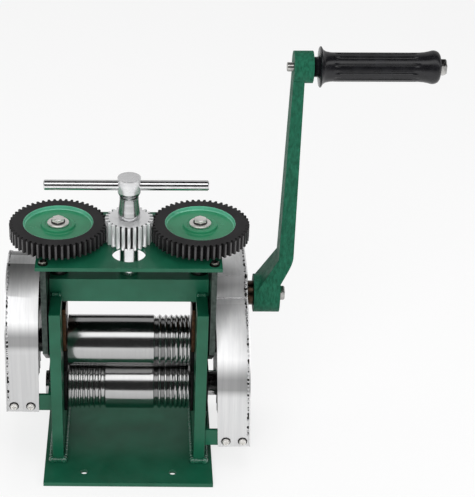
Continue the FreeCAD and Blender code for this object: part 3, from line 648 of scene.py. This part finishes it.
def foot_bead(low, high):
    """Bead on a long fillet beside an upright's foot."""
    rise, off_wall, short = 1.5, 1.5, 2.3
    upright_x = middle("left_upright" if low[0] < 0 else "right_upright")[0]
    on_its_right = (low[0] + high[0]) / 2 > upright_x
    x = low[0] + off_wall if on_its_right else high[0] - off_wall
    points = [(x, y, low[2] + rise) for y in (low[1] + short, high[1] - short)]
    return seam_mesh(points, pitch=1.9, radius=2.3, stretch=0.75, finish=green_bead)


def yoke_bead(low, high):
    """Bead on a short fillet between an upright and the yoke."""
    rise, off_yoke, short = 1.8, 1.8, 2.0
    y = high[1] - off_yoke if low[1] < 0 else low[1] + off_yoke
    points = [(x, y, low[2] + rise) for x in (low[0] + short, high[0] - short)]
    return seam_mesh(points, pitch=1.5, radius=2.7, stretch=0.7, finish=green_bead)


def end_beads(node):
    """Thick beads across the front and the rear end of an upright's foot."""
    rise, off_end, past = 2.0, 0.8, 0.4
    low, high = span(node)
    beads = []
    for y in (low[1] - off_end, high[1] + off_end):
        points = [(x, y, low[2] + rise) for x in (low[0] - past, high[0] + past)]
        beads.append(seam_mesh(points, pitch=2.4, radius=3.8, stretch=0.9, finish=green_bead, least=0.55))
    return beads


def frame_weld_beads():
    """All beads of the frame, as one piece."""
    long_weld = 40
    beads = []
    for low, high in loose_parts("frame_welds"):
        beads.append(foot_bead(low, high) if high[1] - low[1] > long_weld else yoke_bead(low, high))
    beads += end_beads("left_upright") + end_beads("right_upright")
    piece = joined_piece("weld_beads", beads, green_bead)
    place(smooth_by_angle(piece, degrees=60), "frame", "green_paint", "frame_welds")


# Seams start seam_foot above a guard's lower edge, and the right guard's cover lies right_cover_rise above
# the centre of its bend. A bend is drawn in steps of arc_degrees.
seam_foot = 14.0
right_cover_rise = 73.4
arc_degrees = 6


def guard_outline(node):
    """Outer edge of a guard's strip, from the front foot over the top to the rear foot. The left guard is
    a half round; the right one is a quarter round with a level cover behind it."""
    rim, inset, top_zone = 0.8, 1.8, 2
    low, high = span(node)
    tall = [v.co.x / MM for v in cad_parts[node].data.vertices if v.co.z / MM > high[2] - top_zone]
    is_left = low[0] < 0
    foot_x, head_x, inboard = (low[0], min(tall), inset) if is_left else (high[0], max(tall), -inset)
    front, back = low[1] + rim, high[1] - rim
    middle_y, radius = (front + back) / 2, (back - front) / 2
    top = high[2] - rim
    arc_z = top - (radius if is_left else right_cover_rise)
    outline = [(front, low[2] + seam_foot)]
    for step in range(0, (180 if is_left else 90) + 1, arc_degrees):
        angle = math.radians(180 - step)
        outline.append((middle_y + radius * math.cos(angle), arc_z + radius * math.sin(angle)))
    if not is_left:
        outline += [(middle_y, top), (back, top)]
    outline.append((back, low[2] + seam_foot))
    points = []
    for y, z in outline:
        share = (z - low[2]) / (high[2] - low[2])
        points.append((foot_x + (head_x - foot_x) * share + inboard, y, z))
    return points


def inward(points, distance):
    """The path moved in towards the guard's middle line, so that a bead stands out less."""
    middle_y = (points[0][1] + points[-1][1]) / 2
    half = (points[-1][1] - points[0][1]) / 2
    arc_z = max(point[2] for point in points) - half
    moved = []
    for x, y, z in points:
        lower = distance * max(0, (z - arc_z) / half)
        moved.append((x, y - distance * (y - middle_y) / half, z - lower))
    return moved


def guard_seams():
    """Tack welds between the strip and the flat outer plate of each guard, with burnt gaps."""
    for node in ("left_guard", "right_guard"):
        path = inward(guard_outline(node), distance=0.9)
        tacks = seam_mesh(path, pitch=4.2, radius=1.8, stretch=1.1, finish=seam_steel, least=0.6, kept=0.8)
        burn = seam_mesh(path, pitch=2.1, radius=1.7, stretch=1.3, finish=burn_and_painted_shade, least=0.5, kept=0.6)
        tack_piece = add_piece(node + "_tack_welds", tacks, seam_steel)
        burn_piece = add_piece(node + "_burnt_seam", burn, burn_and_painted_shade)
        place(smooth_by_angle(tack_piece, degrees=60), "frame", "galvanised_sheet")
        place(smooth_by_angle(burn_piece, degrees=60), "frame", "blackened_steel")


def guard_fold():
    """Bright ridge across the right guard, a painted highlight along the fold where its bend meets the
    raised cover over the crank shaft.
    """
    bend_end = 1 + 90 // arc_degrees
    x, y, z = guard_outline("right_guard")[bend_end]
    start, end = span("right_guard")[0][0] + 0.3, x + 1.5
    radius, end_radius, taper = 1.3, 0.3, 0.6
    into_corner = 0.2
    profile = [(start, end_radius), (start + taper, radius), (end - taper, radius), (end, end_radius)]
    corner = (0, y - into_corner, z + into_corner)
    piece = turned_piece("right_guard_fold_highlight", profile, corner, "X", 24, bright_steel, degrees=40)
    place(piece, "frame", "galvanised_sheet")


frame_weld_beads()
guard_seams()
guard_fold()


# ---- lifting carriage

paint_shade_below(finished("top_plate", "lifting_carriage", "green_paint", green, edge=0.6))
for node in ("left_hanger", "right_hanger"):
    hanger = finished(node, "lifting_carriage", "bare_steel", hanger_steel, edge=0.3)
    # Painted light on the front and back edges.
    paint_faces(hanger, hanger_lit_edge, lambda face: abs(face.normal.y) > FACING)
for node in ("left_upper_bearing", "right_upper_bearing"):
    finished(node, "lifting_carriage", "bronze", brown_bearing, edge=0.3)


def plate_bolt_pieces():
    """Small hexagon bolts in a darker steel as painted shade, on washers painted dark as the shade round
    them, at the corners of the top plate.
    """
    shank, rim, rim_top = 1.9, 4.5, 4.3
    thickness = 0.6
    head_height, flats, head_turn = 2.9, 6.6, 0.3
    bolts, washers = [], []
    for low, high in loose_parts("plate_bolts"):
        centre = halfway(low, high)
        seat = high[2] - head_height
        top = seat + thickness
        washer = [(seat, shank), (seat, rim), (top, rim_top), (top, shank)]
        washers.append(turned("washer", washer, centre, "Z", 40))
        bolts.append(turned("shank", [(low[2], shank), (top + OVERLAP, shank)], centre, "Z", 24))
        bolts.append(hexagon_head(centre, "Z", top, high[2], flats, head_turn))
    bolt_piece = soften(joined_piece("plate_bolt_hexagons", bolts, bolt_steel), 0.25)
    place(smooth_by_angle(bolt_piece, degrees=30), "lifting_carriage", "zinc_steel", "plate_bolts")
    washer_piece = joined_piece("plate_bolt_washers", washers, burn_and_painted_shade)
    place(smooth_by_angle(washer_piece, degrees=30), "lifting_carriage", "dark_steel")


plate_bolt_pieces()


# ---- adjusting gears and screws

# The painted web lies skin above the recessed floor of the gear.
recess_depth = 4.0
tooth_depth = 3.1
skin = 0.05


def tip_radius(piece, x):
    """The reach of the tooth tips from a gear's axis, which stands at x."""
    return max(math.hypot(v.co.x / MM - x, v.co.y / MM) for v in piece.data.vertices)


def shade_teeth(piece, x, tip_index, gap_index):
    """Gives tooth tips and the floors of the tooth gaps their own finishes: painted shade on the gap floors
    and, on the black rims, a painted highlight on the tips.
    """
    near, level = 0.35, 0.5
    tip = tip_radius(piece, x)
    root = tip - tooth_depth
    for face in piece.data.polygons:
        if abs(face.normal.z) > level:
            continue
        corners = [piece.data.vertices[i].co for i in face.vertices]
        reach = [math.hypot(co.x / MM - x, co.y / MM) for co in corners]
        if min(reach) > tip - near:
            face.material_index = tip_index
        elif max(reach) < root + near and min(reach) > root - near:
            face.material_index = gap_index


def toothed_rim(side):
    """The gear's own teeth and rim; the hub is flattened under the painted web."""
    node = side + "_adjust_gear"
    hub_reach, over_floor = 14.5, 0.1
    x = middle(node)[0]
    floor = span(node)[1][2] - recess_depth
    mesh = joined_copy(node)
    for vert in mesh.vertices:
        reach = math.hypot(vert.co.x / MM - x, vert.co.y / MM)
        if reach < hub_reach and vert.co.z / MM > floor + over_floor:
            vert.co.z = (floor - skin) * MM
    # The rim's tooth tips get a painted highlight and its gap floors painted shade.
    piece = soften(add_piece(node + "_rim", mesh, black_rim, tip_painted_highlight, gap_painted_shade), 0.14, segments=1)
    shade_teeth(piece, x, tip_index=1, gap_index=2)
    place(smooth_by_angle(piece, degrees=30), side + "_screw", "dark_gear", node)


def quarter_round(along, reach, size, start, stop):
    """Points of a rounded corner in the outline of a turned piece."""
    steps = 5
    points = []
    for i in range(steps + 1):
        angle = math.radians(start + (stop - start) * i / steps)
        points.append((along + size * math.sin(angle), reach + size * math.cos(angle)))
    return points


def painted_web(side):
    """Green web: rounded up to the rim outside and to the raised hub inside, with a painted highlight on its
    outer edge.
    """
    node = side + "_adjust_gear"
    centre = middle(node)
    top = span(node)[1][2]
    floor = top - recess_depth + skin
    below = floor - 0.6
    hub = top - 0.65
    seat = hub - 0.5
    bore, hub_wall, rim_wall, rim = 3.2, 14.9, 30.0, 30.68
    hub_round, foot_fillet, rim_fillet = 1.0, 1.5, 2.2
    edge_from = 28.9
    profile = [(below, bore), (below, rim), (top - 0.06, rim), (top - 0.1, 30.4), (top - 0.5, 30.1)]
    profile += quarter_round(floor + rim_fillet, rim_wall - rim_fillet, rim_fillet, 0, -90)
    profile += quarter_round(floor + foot_fillet, hub_wall + foot_fillet, foot_fillet, -90, -180)
    profile += quarter_round(hub - hub_round, hub_wall - hub_round, hub_round, 0, 90)
    profile += [(hub, 11.6), (seat, 11.1), (seat, bore)]
    piece = turned_piece(node + "_web", profile, centre, "Z", 128, green_web, degrees=36)

    def on_edge(face):
        reach = math.hypot(face.center.x / MM - centre[0], face.center.y / MM)
        return len(face.vertices) == 4 and reach > edge_from

    paint_faces(piece, web_edge_painted_highlight, on_edge)
    place(piece, side + "_screw", "green_paint")


def gear_washer(side):
    """Plain washer on the hub."""
    node = side + "_gear_washer"
    bore, chamfer = 3.1, 0.3
    low, high = span(node)
    radius = (high[0] - low[0]) / 2
    profile = [(low[2], bore), (low[2], radius), (high[2] - chamfer, radius), (high[2], radius - chamfer),
               (high[2], bore)]
    piece = turned_piece(node + "_turned", profile, middle(node), "Z", 72, screw_steel)
    place(piece, side + "_screw", "zinc_steel", node)


def gear_bolt(side):
    """Hexagon bolt with a dark lock washer under its head."""
    node = side + "_gear_bolt"
    head_and_washer, thickness, chamfer = 4.0, 0.9, 0.2
    bore, rim, rim_top, shank_radius = 3.1, 6.15, 5.9, 2.9
    low, high = span(node)
    centre = middle(node)
    seat = high[2] - head_and_washer
    top = seat + thickness
    profile = [(seat, bore), (seat, rim), (top - chamfer, rim), (top, rim_top), (top, bore)]
    lock = turned_piece(side + "_lock_washer", profile, centre, "Z", 48, dark_steel)
    place(lock, side + "_screw", "dark_steel")
    shank = turned("shank", [(low[2], shank_radius), (top + OVERLAP, shank_radius)], centre, "Z", 32)
    head = hexagon_head(centre, "Z", top, high[2], flats=high[0] - low[0])
    bolt = soften(joined_piece(node + "_hexagon", [shank, head], screw_steel), 0.25)
    place(smooth_by_angle(bolt, degrees=30), side + "_screw", "zinc_steel", node)


for side in ("left", "right"):
    toothed_rim(side)
    painted_web(side)
    gear_washer(side)
    gear_bolt(side)
    finished(side + "_adjust_screw", side + "_screw", "dark_steel", dark_steel, edge=0)


# ---- T handle

def bright_pinion():
    """Centre pinion: bright teeth, with painted shade on the floors of the gaps."""
    piece = add_piece("bright_pinion", joined_copy("centre_pinion"), cut_steel, tooth_gap)
    soften(piece, 0.12, segments=1)
    shade_teeth(piece, 0, tip_index=0, gap_index=1)
    place(smooth_by_angle(piece, degrees=30), "t_handle", "bare_steel", "centre_pinion")


def turned_post():
    """Post of the T handle: straight head, waist with a turned line, flared foot. The head has a lighter
    copy of the steel, as painted light.
    """
    low, high = span("t_post")
    foot, top = low[2], high[2]
    head_radius, head_length = 10.2, 12
    flare = [(0.0, 8.9), (0.3, 9.2), (3.2, 9.72), (4.0, 9.8), (5.0, 9.72), (9.0, 9.25), (13.0, 8.75),
             (17.0, 8.42), (19.6, 8.35)]
    turned_line = [(19.8, 8.1), (20.3, 8.1), (20.5, 8.3)]
    shoulder = [(21.6, 8.4), (23.0, 8.9), (24.6, 9.75), (25.6, 10.12), (26.4, head_radius)]
    profile = [(foot + rise, radius) for rise, radius in flare + turned_line + shoulder]
    profile += [(top - 0.9, head_radius), (top - 0.25, 9.95), (top, 9.3)]
    piece = turned_piece("turned_post", profile, middle("t_post"), "Z", 96, waist_steel, degrees=40)

    def on_head(face):
        return face.normal.z > FACING or face.center.z / MM > top - head_length

    paint_faces(piece, post_steel, on_head)
    place(piece, "t_handle", "polished_steel", "t_post")


def turned_rod(node, axis):
    """A plain bright rod of the T handle with chamfered ends, in fine steps."""
    chamfer = 0.9
    low, high = span(node)
    along, across = (0, 1) if axis == "X" else (2, 0)
    radius = (high[across] - low[across]) / 2
    start, end = low[along], high[along]
    profile = [(start, radius - chamfer), (start + chamfer, radius), (end - chamfer, radius),
               (end, radius - chamfer)]
    piece = turned_piece(node + "_turned", profile, middle(node), axis, 64, bright_steel)
    place(piece, "t_handle", "polished_steel", node)


bright_pinion()
turned_post()
turned_rod("t_bar", "X")
turned_rod("pinion_spindle", "Z")


# ---- rollers

def profile_of(node):
    """The (x, radius) outline of a turned node, read from its rings."""
    end_centre = 0.5
    centre = middle(node)
    rings = set()
    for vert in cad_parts[node].data.vertices:
        x, y, z = (value / MM for value in vert.co)
        rings.add((round(x, 2), round(math.hypot(y - centre[1], z - centre[2]), 2)))
    rings = [ring for ring in rings if ring[1] > end_centre]
    outline = []
    for x in sorted({ring[0] for ring in rings}):
        radii = sorted(ring[1] for ring in rings if ring[0] == x)
        if outline and abs(radii[0] - outline[-1][1]) > abs(radii[-1] - outline[-1][1]):
            radii.reverse()
        ends = [radii[0]] if len(radii) == 1 else [radii[0], radii[-1]]
        outline += [(x, radius) for radius in ends]
    return outline


def rounded_grooves(outline):
    """Turns each flat floored groove that is twice as wide as deep into a half round one."""
    steps, tolerance = 12, 0.1
    points = []
    i = 0
    while i < len(outline):
        window = outline[i:i + 4]
        if len(window) == 4:
            (a, top), (b, floor), (c, other_floor), (d, other_top) = window
            is_groove = a == b and c == d and floor == other_floor and top == other_top and floor < top
            if is_groove and abs((c - b) - 2 * (top - floor)) < tolerance:
                radius = top - floor
                for step in range(steps + 1):
                    angle = math.pi * step / steps
                    points.append(((a + c) / 2 - radius * math.cos(angle), top - radius * math.sin(angle)))
                i += 4
                continue
        points.append(outline[i])
        i += 1
    return points


def ground_roller(node):
    """A ground roller with lightly broken edges."""
    mesh = turned(node, rounded_grooves(profile_of(node)), middle(node), "X", 160)
    piece = soften(add_piece(node + "_ground", mesh, ground_steel), 0.22)
    place(smooth_by_angle(piece, degrees=28), node + "_shaft", "polished_steel", node)


ground_roller("upper_roller")
ground_roller("lower_roller")
for node in ("driven_gear", "upper_sync_gear", "upper_roller_nuts"):
    finished(node, "upper_roller_shaft", "dark_steel", dark_steel, edge=0.2, segments=1)
for node in ("lower_sync_gear", "lower_roller_nut"):
    finished(node, "lower_roller_shaft", "dark_steel", dark_steel, edge=0.2, segments=1)


# ---- crank

def hexagon_screw(node, head_length):
    """Shank along X with a chamfered hexagon head at its outer end."""
    radius, chamfer = 3.95, 0.5
    low, high = span(node)
    centre = middle(node)
    seat = high[0] - head_length
    profile = [(low[0], radius - chamfer), (low[0] + chamfer, radius), (seat + OVERLAP, radius)]
    shank = turned("shank", profile, centre, "X", 48)
    head = hexagon_head(centre, "X", seat, high[0], flats=high[2] - low[2])
    piece = soften(joined_piece(node + "_hexagon", [shank, head], plated_steel), 0.3)
    place(smooth_by_angle(piece, degrees=30), "crank", "zinc_steel", node)


def cast_arm():
    """The crank arm with its outer elbow rounded, as a casting is."""
    elbow_radius, arm_width = 3.6, 20
    outer_x, elbow_low, elbow_high = 140, 165, 185
    form = bmesh.new()
    form.from_mesh(joined_copy("crank_arm"))
    elbow = []
    for edge in form.edges:
        start, end = [vert.co / MM for vert in edge.verts]
        is_across = abs(start.y - end.y) > arm_width and min(start.x, end.x) > outer_x
        if is_across and elbow_low < start.z < elbow_high:
            elbow.append(edge)
    bmesh.ops.bevel(form, geom=elbow, offset=elbow_radius * MM, offset_type="OFFSET", segments=3,
                    profile=0.5, affect="EDGES", clamp_overlap=True)
    piece = add_piece("cast_arm", mesh_from(form, "cast_arm"), cast_green)
    place(break_edges(piece, 1.5, segments=3), "crank", "green_paint", "crank_arm")


def fluted_grip():
    """Black grip: collar at the arm, twelve flutes with soft ends, swollen butt."""
    bore, waist = 4.05, 12.3
    flutes, flute_depth, run_out, sharpness = 12, 1.0, 2.5, 0.6
    low, high = span("handle_grip")
    start, end = low[0], high[0]
    flute_from, flute_to = start + 17.0, end - 19.0
    collar = [(0, bore), (0, 8.0), (0.5, 8.5), (3.6, 8.7), (4.3, 9.6), (4.7, 12.5), (5.0, 16.6),
              (5.5, 17.4), (6.2, 17.4), (6.9, 16.3), (8.0, 14.6), (10.2, 13.2), (13.5, 12.5),
              (16.0, waist), (17.0, waist)]
    butt = [(19, waist), (17, 12.35), (13, 12.7), (9.5, 13.4), (7, 14.1), (5.5, 14.2), (3.5, 13.9),
            (1.6, 12.9), (0.5, 11.4), (0, 9.0), (0, bore)]
    between = 24
    profile = [(start + rise, radius) for rise, radius in collar]
    profile += [(flute_from + (flute_to - flute_from) * i / between, waist) for i in range(1, between)]
    profile += [(end - rise, radius) for rise, radius in butt]

    def fluted(along, radius, angle):
        inside = min(along - flute_from, flute_to - along)
        if inside <= 0:
            return radius
        deep = flute_depth * min(1.0, inside / run_out)
        return radius - deep * max(0.0, math.cos(flutes * angle)) ** sharpness

    mesh = turned("fluted_grip", profile, middle("handle_grip"), "X", 192, fluted)
    piece = add_piece("fluted_grip", mesh, black_grip)
    place(smooth_by_angle(piece, degrees=50), "grip", "black_grip", "handle_grip")


cast_arm()
hexagon_screw("crank_bolt", head_length=5.3)
hexagon_screw("handle_axle", head_length=5.1)
finished("crank_collar", "crank", "dark_steel", brown_collar, edge=0.6, segments=3)
finished("crank_shaft", "crank", "bare_steel", dark_steel, edge=0)
finished("drive_pinion", "crank", "dark_steel", dark_steel, edge=0.2, segments=1)
fluted_grip()


# ---- floor, light and camera

WHITE = (1, 1, 1, 1)


def mixed(tree, share, first, second):
    """A mix of two shaders, by the share of the second."""
    mix = tree.nodes.new("ShaderNodeMixShader")
    wire(tree, share, mix, "Fac")
    wire(tree, first, mix, 1)
    wire(tree, second, mix, 2)
    return mix.outputs["Shader"]


def pale_floor():
    """Plain floor that keeps the shadow, lifted towards white, most of all where the camera sees it."""
    reach = 6.0
    lift, seen_lift = 0.375, 0.75
    mesh = bpy.data.meshes.new("floor")
    corners = [(-reach, -reach, 0), (reach, -reach, 0), (reach, reach, 0), (-reach, reach, 0)]
    mesh.from_pydata(corners, [], [(0, 1, 2, 3)])
    material, tree, shader = new_finish("floor")
    set_levels(shader, {"Base Color": (0.92, 0.92, 0.92, 1), "Roughness": 0.9, "Specular IOR Level": 0.1})
    white = node_of(tree, "ShaderNodeEmission", Color=WHITE)
    seen = tree.nodes.new("ShaderNodeLightPath").outputs["Is Camera Ray"]
    share = value_between(tree, seen, lift, seen_lift, start=0, stop=1)
    surface = mixed(tree, share, shader.outputs["BSDF"], white.outputs["Emission"])
    wire(tree, surface, tree.nodes["Material Output"], "Surface")
    add_piece("floor", mesh, material)


def height_round_front(tree):
    """How far a ray has turned from straight down behind, over the front horizon and the top: 0 to 1."""
    coordinate = tree.nodes.new("ShaderNodeTexCoord")
    split = tree.nodes.new("ShaderNodeSeparateXYZ")
    wire(tree, coordinate.outputs["Generated"], split, "Vector")
    front = node_of(tree, "ShaderNodeMath", operation="MULTIPLY")
    front.inputs[1].default_value = -1.0
    wire(tree, split.outputs["Y"], front, 0)
    angle = node_of(tree, "ShaderNodeMath", operation="ARCTAN2")
    wire(tree, split.outputs["Z"], angle, 0)
    wire(tree, front.outputs[0], angle, 1)
    return value_between(tree, angle.outputs[0], low=0, high=1, start=-math.pi, stop=math.pi)


def studio_light():
    """Even pale light; polished metal mirrors dark and bright boards over the front, and the camera sees
    plain white. The stops are degrees up from the front horizon and the brightness there."""
    world = bpy.data.worlds.new("studio")
    scene.world = world
    world.use_nodes = True
    tree = world.node_tree
    even = tree.nodes["Background"]
    set_levels(even, {"Color": WHITE, "Strength": 0.50})
    plain = node_of(tree, "ShaderNodeBackground", Color=WHITE, Strength=1.0)
    boards = tree.nodes.new("ShaderNodeBackground")
    ramp = tree.nodes.new("ShaderNodeValToRGB")
    stops = [(-180, 0.40), (-100, 0.55), (-60, 0.62), (-5, 0.62), (2, 0.035), (43, 0.03),
             (49, 1.9), (69, 1.9), (74, 0.012), (116, 0.012), (124, 0.50), (180, 0.50)]
    elements = ramp.color_ramp.elements
    for i, (degrees, level) in enumerate(stops):
        position = (degrees + 180) / 360
        element = elements[i] if i < 2 else elements.new(position)
        element.position = position
        element.color = (*grey(level), 1)
    wire(tree, height_round_front(tree), ramp, "Fac")
    wire(tree, ramp.outputs["Color"], boards, "Color")
    ray = tree.nodes.new("ShaderNodeLightPath").outputs
    lit = mixed(tree, ray["Is Glossy Ray"], even.outputs["Background"], boards.outputs["Background"])
    seen = mixed(tree, ray["Is Camera Ray"], lit, plain.outputs["Background"])
    wire(tree, seen, tree.nodes["World Output"], "Surface")


def lamp(name, spot, size, power):
    """A soft square lamp in metres and watts, turned to the mill's middle and unseen in polished metal."""
    aim = Vector((0, 0, 0.15))
    light = bpy.data.lights.new(name, "AREA")
    light.size = size
    light.energy = power
    holder = bpy.data.objects.new(name, light)
    scene.collection.objects.link(holder)
    holder.location = spot
    holder.rotation_euler = (aim - Vector(spot)).to_track_quat("-Z", "Y").to_euler()
    holder.visible_glossy = False


def camera():
    """Camera in front of the mill and above it, with its view shifted to one side."""
    frame_wide, frame_high = 475, 497
    focal_px, centre_px, centre_py = 1474.68, 116.93, 235.98
    stand = Vector((8.54, -1124.29, 854.51))
    yaw, pitch, roll = math.radians(-0.98), math.radians(29.63), math.radians(-0.20)
    lens = bpy.data.cameras.new("camera")
    holder = bpy.data.objects.new("camera", lens)
    scene.collection.objects.link(holder)
    scene.camera = holder
    forward = Vector((math.sin(yaw) * math.cos(pitch), math.cos(yaw) * math.cos(pitch), -math.sin(pitch)))
    level = Vector((math.cos(yaw), -math.sin(yaw), 0))
    upright = level.cross(forward)
    right = math.cos(roll) * level + math.sin(roll) * upright
    up = -math.sin(roll) * level + math.cos(roll) * upright
    turn = Matrix((right, up, -forward)).transposed().to_4x4()
    holder.matrix_world = Matrix.Translation(stand * MM) @ turn
    lens.sensor_fit = "HORIZONTAL"
    lens.sensor_width = 36
    lens.lens = focal_px * lens.sensor_width / frame_wide
    lens.shift_x = (frame_wide / 2 - centre_px) / frame_wide
    lens.shift_y = (centre_py - frame_high / 2) / frame_wide


pale_floor()
studio_light()
lamp("key_lamp", (-0.5, -1.5, 0.85), size=0.9, power=16.5)
lamp("fill_lamp", (1.4, -0.9, 0.9), size=0.9, power=6)
lamp("top_lamp", (0.1, 0.3, 1.7), size=0.8, power=8)
camera()
